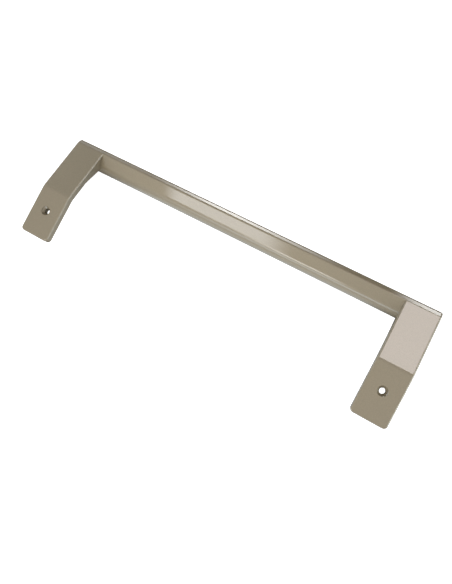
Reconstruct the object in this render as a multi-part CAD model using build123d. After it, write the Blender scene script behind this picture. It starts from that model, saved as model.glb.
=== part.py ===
import os
from math import cos, radians, sin, tan

from build123d import *

# Refrigerator door handle, moulded in one piece. All lengths are millimetres, angles are degrees.
# X runs along the grip bar, Y from the screw feet out to the bar, Z along the screws.
# The origin lies on the mounting plane, midway between the two screw holes.

# Legs and feet
hole_pitch = 302.2            # between the screw centres
leg_width = 27.8
leg_thickness = 6.5
hole_to_foot_end = 23.0
hole_to_bend = 18.5           # screw centre to the bend line on the outer face
upper_leg_length = 49.3       # bend line to the front crease, along the outer face
bend_angle = 16.2             # lean of the upper leg from the foot
inner_bend_radius = 5.5       # inside of the bend; the outside follows from the thickness
foot_corner_radius = 3.0
edge_radius = 1.4             # soft edge round the outer face of the legs and the ends of the bar
back_edge_radius = 0.8        # round the back of the legs

# Gusset behind each upper leg, where it deepens towards the bar
gusset_start = 19.7           # from the bend, along the back of the leg
gusset_angle = 29.5           # from the mounting plane
gusset_radius = 10.0
root_depth = 5.0              # how far the leg runs into the bar

# Section of the grip bar
bar_reach = 17.5              # front face to finger side
bar_depth = 16.4              # front crease to inner side
bevel_reach = 3.7             # bevel between the outer face and the front face
bevel_drop = 2.6
grip_tilt = 23.0              # outer face of the bar, from the mounting plane
crease_radius = 1.6
bevel_radius = 2.4
finger_radius = 9.4           # large rounding that the fingers close over
inner_finger_radius = 5.0
inner_front_radius = 4.0
least_step = 0.2              # least by which the crease is rounder than the edges that cross it
least_flat = 0.4              # flat left between the two roundings of the finger side
finger_share = 0.8            # most of that side that the large rounding may take

# Countersunk screw holes
screw_hole_diameter = 4.5
screw_head_diameter = 7.8
head_sink = 0.6               # screw head below the foot face
countersink_angle = 90.0
cut_margin = 1.0              # how far a cutter stands out of the foot

# Places along X
hole_x = hole_pitch / 2
half_length = hole_x + leg_width / 2
leg_inner_x = half_length - leg_width

# Corners of the side view, as (Y, Z)
lean = radians(bend_angle)
foot_back_end = (-hole_to_foot_end, 0)
foot_face_end = (-hole_to_foot_end, leg_thickness)
face_bend = (hole_to_bend, leg_thickness)
crease = (
    face_bend[0] + upper_leg_length * cos(lean),
    face_bend[1] - upper_leg_length * sin(lean),
)
bevel_edge = (crease[0] + bevel_reach, crease[1] - bevel_drop)
bevel_middle = (crease[0] + bevel_reach / 2, crease[1] - bevel_drop / 2)
finger_y = bevel_edge[0] - bar_reach
inner_z = crease[1] - bar_depth
inner_front = (bevel_edge[0], inner_z)
inner_finger = (finger_y, inner_z)
finger_edge = (finger_y, crease[1] - (crease[0] - finger_y) * tan(radians(grip_tilt)))
back_bend = (face_bend[0] - leg_thickness * tan(lean / 2), 0)
gusset_top = (back_bend[0] + gusset_start * cos(lean), -gusset_start * sin(lean))
root_y = finger_y + root_depth
leg_root = (root_y, gusset_top[1] - (root_y - gusset_top[0]) * tan(radians(gusset_angle)))

# The two finger-side roundings share the height of that side
finger_side = finger_edge[1] - inner_z - least_flat
finger_tangent = tan(radians(90 - grip_tilt) / 2)
finger_fit = min(finger_radius, finger_share * finger_side / finger_tangent)
inner_finger_fit = min(inner_finger_radius, finger_side - finger_fit * finger_tangent)

# An edge rounding runs across the crease, so it stays the tighter of the two
edge_fit = min(edge_radius, crease_radius - least_step)


def bar_section():
    corners = [crease, bevel_edge, inner_front, inner_finger, finger_edge]
    radii = [crease_radius, bevel_radius, inner_front_radius, inner_finger_fit, finger_fit]
    return make_face(FilletPolyline(corners, radius=radii, close=True))


def leg_profile():
    # The last two corners before the gusset lie inside the bar
    corners = [
        foot_back_end, foot_face_end, face_bend, crease,
        bevel_middle, leg_root, gusset_top, back_bend,
    ]
    outer_bend_radius = inner_bend_radius + leg_thickness
    radii = [0, 0, outer_bend_radius, crease_radius, 0, 0, gusset_radius, inner_bend_radius]
    return make_face(FilletPolyline(corners, radius=radii, close=True))


def grip_bar():
    bar = extrude(Plane.YZ * bar_section(), half_length, both=True)
    return fillet(bar.faces().filter_by(Axis.X).edges(), edge_fit)


def side_edges(leg, way):
    # Edges along both sides of the outer face (way 1) or the back (way -1), which slope less than 60 degrees
    faces = leg.faces().filter_by(lambda face: way * face.normal_at().Z > cos(radians(60)))
    return faces.edges().filter_by(Axis.X, reverse=True)


def right_leg():
    leg = extrude(Plane.YZ.offset(leg_inner_x) * leg_profile(), leg_width)
    foot_corners = leg.edges().filter_by(Axis.Z).group_by(Axis.Y)[0]
    leg = fillet(foot_corners, foot_corner_radius)
    leg = fillet(side_edges(leg, 1), edge_fit)
    return fillet(side_edges(leg, -1), back_edge_radius)


def screw_cutter():
    hole_r = screw_hole_diameter / 2
    head_r = screw_head_diameter / 2
    cone_top = leg_thickness - head_sink
    cone_bottom = cone_top - (head_r - hole_r) / tan(radians(countersink_angle / 2))
    half_section = Polyline(
        (0, -cut_margin),
        (hole_r, -cut_margin),
        (hole_r, cone_bottom),
        (head_r, cone_top),
        (head_r, leg_thickness + cut_margin),
        (0, leg_thickness + cut_margin),
        close=True,
    )
    return revolve(Plane.XZ * make_face(half_section), Axis.Z)


leg = right_leg()
door_handle = grip_bar() + leg + mirror(leg, Plane.YZ)
for side in (-1, 1):
    door_handle -= Pos(side * hole_x, 0, 0) * screw_cutter()

os.makedirs("parts", exist_ok=True)
export_step(door_handle, "parts/door_handle.step")
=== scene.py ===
import math

import bpy
from mathutils import Matrix, Vector


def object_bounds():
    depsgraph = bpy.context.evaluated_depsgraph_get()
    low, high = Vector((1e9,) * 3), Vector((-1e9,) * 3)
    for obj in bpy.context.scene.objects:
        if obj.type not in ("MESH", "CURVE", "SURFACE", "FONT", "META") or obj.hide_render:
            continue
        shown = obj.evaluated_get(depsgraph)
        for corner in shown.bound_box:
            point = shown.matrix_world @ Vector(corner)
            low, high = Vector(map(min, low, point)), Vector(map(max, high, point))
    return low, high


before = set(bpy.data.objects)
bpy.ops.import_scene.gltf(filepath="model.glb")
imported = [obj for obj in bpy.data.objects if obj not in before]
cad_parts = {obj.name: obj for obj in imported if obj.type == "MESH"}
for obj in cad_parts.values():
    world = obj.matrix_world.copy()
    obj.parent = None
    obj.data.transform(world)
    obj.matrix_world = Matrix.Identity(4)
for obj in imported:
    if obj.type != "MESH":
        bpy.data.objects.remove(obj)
cadLow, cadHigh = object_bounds()
scene = bpy.context.scene
scene.view_settings.view_transform = "Standard"
white = (1.0, 1.0, 1.0)
print("frame loaded:", sorted(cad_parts))


def newMaterial(name):
    mat = bpy.data.materials.new(name)
    mat.use_nodes = True
    tree = mat.node_tree
    tree.nodes.clear()
    out = tree.nodes.new("ShaderNodeOutputMaterial")
    shader = tree.nodes.new("ShaderNodeBsdfPrincipled")
    tree.links.new(shader.outputs["BSDF"], out.inputs["Surface"])
    return mat, tree, shader


def addNode(tree, kind, **settings):
    node = tree.nodes.new(kind)
    for key, value in settings.items():
        setattr(node, key, value)
    return node


def noiseFrom(tree, coords, scale, detail=2.0):
    tex = addNode(tree, "ShaderNodeTexNoise")
    tex.inputs["Scale"].default_value = scale
    tex.inputs["Detail"].default_value = detail
    tree.links.new(coords.outputs["Object"], tex.inputs["Vector"])
    return tex.outputs["Fac"]


# straight ramp from 0..1 to low..high
def spread(tree, value, low, high):
    remap = addNode(tree, "ShaderNodeMapRange")
    remap.inputs["To Min"].default_value = low
    remap.inputs["To Max"].default_value = high
    tree.links.new(value, remap.inputs["Value"])
    return remap.outputs["Result"]


# soft ramp: low at start, high at end
def softRamp(tree, value, start, end, low=0.0, high=1.0):
    ramp = addNode(tree, "ShaderNodeMapRange", interpolation_type="SMOOTHSTEP")
    ramp.inputs["From Min"].default_value = start
    ramp.inputs["From Max"].default_value = end
    ramp.inputs["To Min"].default_value = low
    ramp.inputs["To Max"].default_value = high
    tree.links.new(value, ramp.inputs["Value"])
    return ramp.outputs["Result"]


def product(tree, first, second):
    times = addNode(tree, "ShaderNodeMath", operation="MULTIPLY")
    tree.links.new(first, times.inputs[0])
    tree.links.new(second, times.inputs[1])
    return times.outputs["Value"]


# base colour, lighter and darker with the tone
def tonedColour(tree, shader, colour, tone):
    tint = addNode(tree, "ShaderNodeVectorMath", operation="SCALE")
    tint.inputs[0].default_value = colour
    tree.links.new(tone, tint.inputs["Scale"])
    tree.links.new(tint.outputs["Vector"], shader.inputs["Base Color"])


# champagne lacquer: fine metal flake under a clear coat with a faint orange peel
lacquerLook = {
    "colour": (0.294, 0.244, 0.160),
    "metallic": 0.75,
    "roughness": (0.50, 0.56),     # uneven spray, from spot to spot
    "patchScale": 70.0,            # size of those spots, about 14 mm
    "patchDetail": 3.0,
    "coat": 1.0,
    "coatRoughness": 0.035,
    "coatIor": 1.65,
    "flakeScale": 2600.0,          # cells per metre, about 0.4 mm
    "flakeTone": (0.93, 1.07),
    "cloudScale": 14.0,            # slow drift of tone along the bar
    "cloudTone": (0.98, 1.02),
    "peelScale": 420.0,            # waves of about 2.4 mm
    "peelHeight": 0.000004,
}


def lacquer():
    look = lacquerLook
    mat, tree, shader = newMaterial("champagneLacquer")
    coords = addNode(tree, "ShaderNodeTexCoord")

    flake = addNode(tree, "ShaderNodeTexVoronoi")
    flake.inputs["Scale"].default_value = look["flakeScale"]
    tree.links.new(coords.outputs["Object"], flake.inputs["Vector"])
    flakeGrey = addNode(tree, "ShaderNodeRGBToBW")
    tree.links.new(flake.outputs["Color"], flakeGrey.inputs["Color"])
    flakeTone = spread(tree, flakeGrey.outputs["Val"], *look["flakeTone"])
    cloudTone = spread(tree, noiseFrom(tree, coords, look["cloudScale"]), *look["cloudTone"])
    tonedColour(tree, shader, look["colour"], product(tree, flakeTone, cloudTone))

    patch = noiseFrom(tree, coords, look["patchScale"], look["patchDetail"])
    tree.links.new(spread(tree, patch, *look["roughness"]), shader.inputs["Roughness"])

    peel = addNode(tree, "ShaderNodeBump")
    peel.inputs["Distance"].default_value = look["peelHeight"]
    tree.links.new(noiseFrom(tree, coords, look["peelScale"]), peel.inputs["Height"])
    tree.links.new(peel.outputs["Normal"], shader.inputs["Normal"])
    tree.links.new(peel.outputs["Normal"], shader.inputs["Coat Normal"])

    shader.inputs["Metallic"].default_value = look["metallic"]
    shader.inputs["Coat Weight"].default_value = look["coat"]
    shader.inputs["Coat Roughness"].default_value = look["coatRoughness"]
    shader.inputs["Coat IOR"].default_value = look["coatIor"]
    return mat


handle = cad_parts["door_handle"]
handle.data.materials.clear()
handle.data.materials.append(lacquer())
print("handle lacquered")

# pale studio table, just under the bar
tableSet = {
    "half": 6.0,
    "gap": 0.0004,
    "tone": (0.90, 0.90, 0.895),
    "grainScale": 900.0,           # paper grain, about 1 mm
    "grainTone": (0.985, 1.0),
    "roughness": 0.9,
    "glow": 0.80,                  # keeps the paper near white
}
tableTop = cadLow.z - tableSet["gap"]


def studioTable():
    bpy.ops.mesh.primitive_plane_add(size=2 * tableSet["half"])
    table = bpy.context.object
    table.name = "studioTable"
    table.location.z = tableTop
    mat, tree, shader = newMaterial("palePaper")
    coords = addNode(tree, "ShaderNodeTexCoord")
    grain = noiseFrom(tree, coords, tableSet["grainScale"])
    tonedColour(tree, shader, tableSet["tone"], spread(tree, grain, *tableSet["grainTone"]))
    shader.inputs["Roughness"].default_value = tableSet["roughness"]
    shader.inputs["Specular IOR Level"].default_value = 0.0
    shader.inputs["Emission Color"].default_value = (*white, 1.0)
    shader.inputs["Emission Strength"].default_value = tableSet["glow"]
    table.data.materials.append(mat)
    table.visible_glossy = False     # the lacquer mirrors the room, not the table


studioTable()
print("table laid")

# soft room: bright overhead and to the feet's side, dimmer behind the bar
roomSet = {
    "towards": (0.0, -0.50, 0.866),
    "dim": 0.015, "bright": 0.72,
    "from": -0.52, "to": 0.78,     # cosines to that direction, where dim ends and bright begins
    "backdrop": 1.0,               # plain pale wall behind the table
}


def studioRoom():
    world = bpy.data.worlds.new("studioRoom")
    scene.world = world
    world.use_nodes = True
    tree = world.node_tree
    back = tree.nodes["Background"]
    coords = addNode(tree, "ShaderNodeTexCoord")
    facing = addNode(tree, "ShaderNodeVectorMath", operation="DOT_PRODUCT")
    facing.inputs[1].default_value = Vector(roomSet["towards"]).normalized()
    tree.links.new(coords.outputs["Generated"], facing.inputs[0])
    edges = roomSet["from"], roomSet["to"]
    glow = softRamp(tree, facing.outputs["Value"], *edges, roomSet["dim"], roomSet["bright"])
    backdrop = addNode(tree, "ShaderNodeMix")
    backdrop.inputs["B"].default_value = roomSet["backdrop"]
    rays = addNode(tree, "ShaderNodeLightPath")
    tree.links.new(rays.outputs["Is Camera Ray"], backdrop.inputs["Factor"])
    tree.links.new(glow, backdrop.inputs["A"])
    tree.links.new(backdrop.outputs["Result"], back.inputs["Strength"])
    back.inputs["Color"].default_value = (*white, 1.0)


studioRoom()
print("room set")

# softboxes: place and size in metres, face is the way they shine, glow is the radiance in the middle
# fadeAlong and fadeAcross: shares of the two sizes over which the light dies away, low end and high end
# barSoftbox and lineSoftbox overlap, so they hang at two heights: in one plane, one would hide the other
coolTint = (0.88, 1.0, 1.14)
cardLevel = tableTop + 0.00045     # the cards lie just over the table
upperCardLevel = tableTop + 0.00055
softboxes = {
    "barSoftbox": {                # bright middle of the bar's face
        "at": (-0.34, -0.775, 0.80), "face": (0, 0, -1), "size": (0.46, 0.75),
        "glow": 3.75, "fadeAlong": (0.14, 0.27), "fadeAcross": (0.76, 0.1), "tint": (0.98, 1.0, 1.04),
    },
    "topSoftbox": {                # warm wash over the feet
        "at": (-0.24, 0.05, 0.84), "face": (0, 0, -1), "size": (1.3, 0.5),
        "glow": 0.30, "fadeAlong": (0.35, 0.1), "fadeAcross": (0.2, 0.2), "tint": (1.18, 1.06, 0.86),
    },
    "lineSoftbox": {               # thin line on the finger rounding
        "at": (-0.208, -1.055, 0.82), "face": (0, 0, -1), "size": (0.585, 0.36),
        "glow": 4.9, "fadeAlong": (0.58, 0.24), "fadeAcross": (0.5, 0.4),
    },
    "legSoftbox": {                # bright right upper leg
        "at": (0.265, 0.68, 0.80), "face": (0, 0, -1), "size": (0.20, 0.36),
        "glow": 4.55, "fadeAlong": (0.05, 0.05), "fadeAcross": (0.05, 0.05), "tint": (1.06, 1.0, 1.01),
    },
    "edgePanel": {                 # bright stretch of the bevel
        "at": (-0.180, 0.70, 0.095), "face": (0, -1, 0), "size": (0.52, 0.06),
        "glow": 9.7, "fadeAlong": (0.57, 0.42), "fadeAcross": (0.1, 0.1),
    },
    "endPanel": {                  # right end of the bevel
        "at": (0.225, 0.70, 0.095), "face": (0, -1, 0), "size": (0.16, 0.06),
        "glow": 8.0, "fadeAlong": (0.1, 0.52), "fadeAcross": (0.1, 0.1),
    },
    "backPanel": {                 # left end of the bevel
        "at": (-0.55, 0.72, 0.098), "face": (0, -1, 0), "size": (0.46, 0.062),
        "glow": 1.25, "fadeAlong": (0.35, 0.1), "fadeAcross": (0.1, 0.1),
    },
    "rightPanel": {                # right rims of the legs
        "at": (0.90, 0.17, 0.28), "face": (-1, 0, 0), "size": (0.90, 0.60),
        "glow": 4.2, "fadeAlong": (0.25, 0.15), "fadeAcross": (0.05, 0.7), "tint": coolTint,
    },
    "leftPanel": {                 # left rims of the legs
        "at": (-0.90, -0.04, 0.14), "face": (1, 0, 0), "size": (1.2, 0.32),
        "glow": 3.0, "fadeAlong": (0.12, 0.2), "fadeAcross": (0.05, 0.6), "tint": coolTint,
    },
    "rimPanel": {                  # left rims of the upper legs
        "at": (-0.90, 0.65, 0.49), "face": (1, 0, 0), "size": (0.40, 0.40),
        "glow": 2.2, "fadeAlong": (0.2, 0.2), "fadeAcross": (0.2, 0.2), "tint": coolTint,
    },
    "frontPanel": {                # cool light on the finger rounding
        "at": (-0.20, -1.10, 0.42), "face": (0, 1, 0), "size": (1.2, 0.54),
        "glow": 1.75, "fadeAlong": (0.45, 0.25), "fadeAcross": (0.35, 0.35), "tint": (0.82, 1.0, 1.20),
    },
    "rightCard": {                 # white table in the right rims
        "at": (0.31, -0.02, cardLevel), "face": (0, 0, 1), "size": (0.28, 0.30),
        "glow": 0.95, "fadeAlong": (0.1, 0.02), "fadeAcross": (0.1, 0.2),
    },
    "leftCard": {                  # white table in the left foot's inner wall
        "at": (-0.120, -0.03, upperCardLevel), "face": (0, 0, 1), "size": (0.03, 0.12),
        "glow": 0.15, "fadeAlong": (0.1, 0.1), "fadeAcross": (0.1, 0.1),
    },
    "gapCard": {                   # white table in the finger rounding
        "at": (-0.0035, -0.10, cardLevel), "face": (0, 0, 1), "size": (0.293, 0.31),
        "glow": 0.72, "fadeAlong": (0.14, 0.22), "fadeAcross": (0.1, 0.02), "tint": (0.91, 1.0, 1.10),
    },
}


def edgeFade(tree, value, shares):
    rise = softRamp(tree, value, 0.0, shares[0])
    fall = softRamp(tree, value, 1.0, 1.0 - shares[1])
    return product(tree, rise, fall)


def softbox(name, spec):
    data = bpy.data.lights.new(name, "AREA")
    data.shape = "RECTANGLE"
    data.size, data.size_y = spec["size"]
    data.energy = spec["glow"] * math.pi * spec["size"][0] * spec["size"][1]
    data.color = spec.get("tint", white)
    data.use_nodes = True
    tree = data.node_tree
    spot = addNode(tree, "ShaderNodeNewGeometry")
    sides = addNode(tree, "ShaderNodeSeparateXYZ")
    tree.links.new(spot.outputs["Parametric"], sides.inputs["Vector"])
    along = edgeFade(tree, sides.outputs["X"], spec["fadeAlong"])
    across = edgeFade(tree, sides.outputs["Y"], spec["fadeAcross"])
    tree.links.new(product(tree, along, across), tree.nodes["Emission"].inputs["Strength"])
    lamp = bpy.data.objects.new(name, data)
    scene.collection.objects.link(lamp)
    lamp.location = spec["at"]
    lamp.rotation_euler = Vector(spec["face"]).to_track_quat("-Z", "Y").to_euler()
    lamp.visible_camera = False


for name, spec in softboxes.items():
    softbox(name, spec)
print("studio lit:", len(softboxes), "softboxes")

# camera: where the photograph was taken from
cameraSet = {
    "at": (0.11054, 0.00965, 0.37384),
    "look": (-0.24112, 0.00140, -0.97049),
    "up": (-0.45239, 0.88447, 0.11428),
    "focalPixels": 500.9,
    "framePixels": (452, 584),
    "clipStart": 0.01,
}


def photoCamera():
    data = bpy.data.cameras.new("photoCamera")
    data.lens = data.sensor_width * cameraSet["focalPixels"] / max(cameraSet["framePixels"])
    data.clip_start = cameraSet["clipStart"]
    cam = bpy.data.objects.new("photoCamera", data)
    scene.collection.objects.link(cam)
    back = -Vector(cameraSet["look"]).normalized()
    right = Vector(cameraSet["up"]).cross(back).normalized()
    upright = back.cross(right)
    turn = Matrix((right, upright, back)).transposed().to_4x4()
    cam.matrix_world = Matrix.Translation(cameraSet["at"]) @ turn
    scene.camera = cam


photoCamera()
print("camera set")
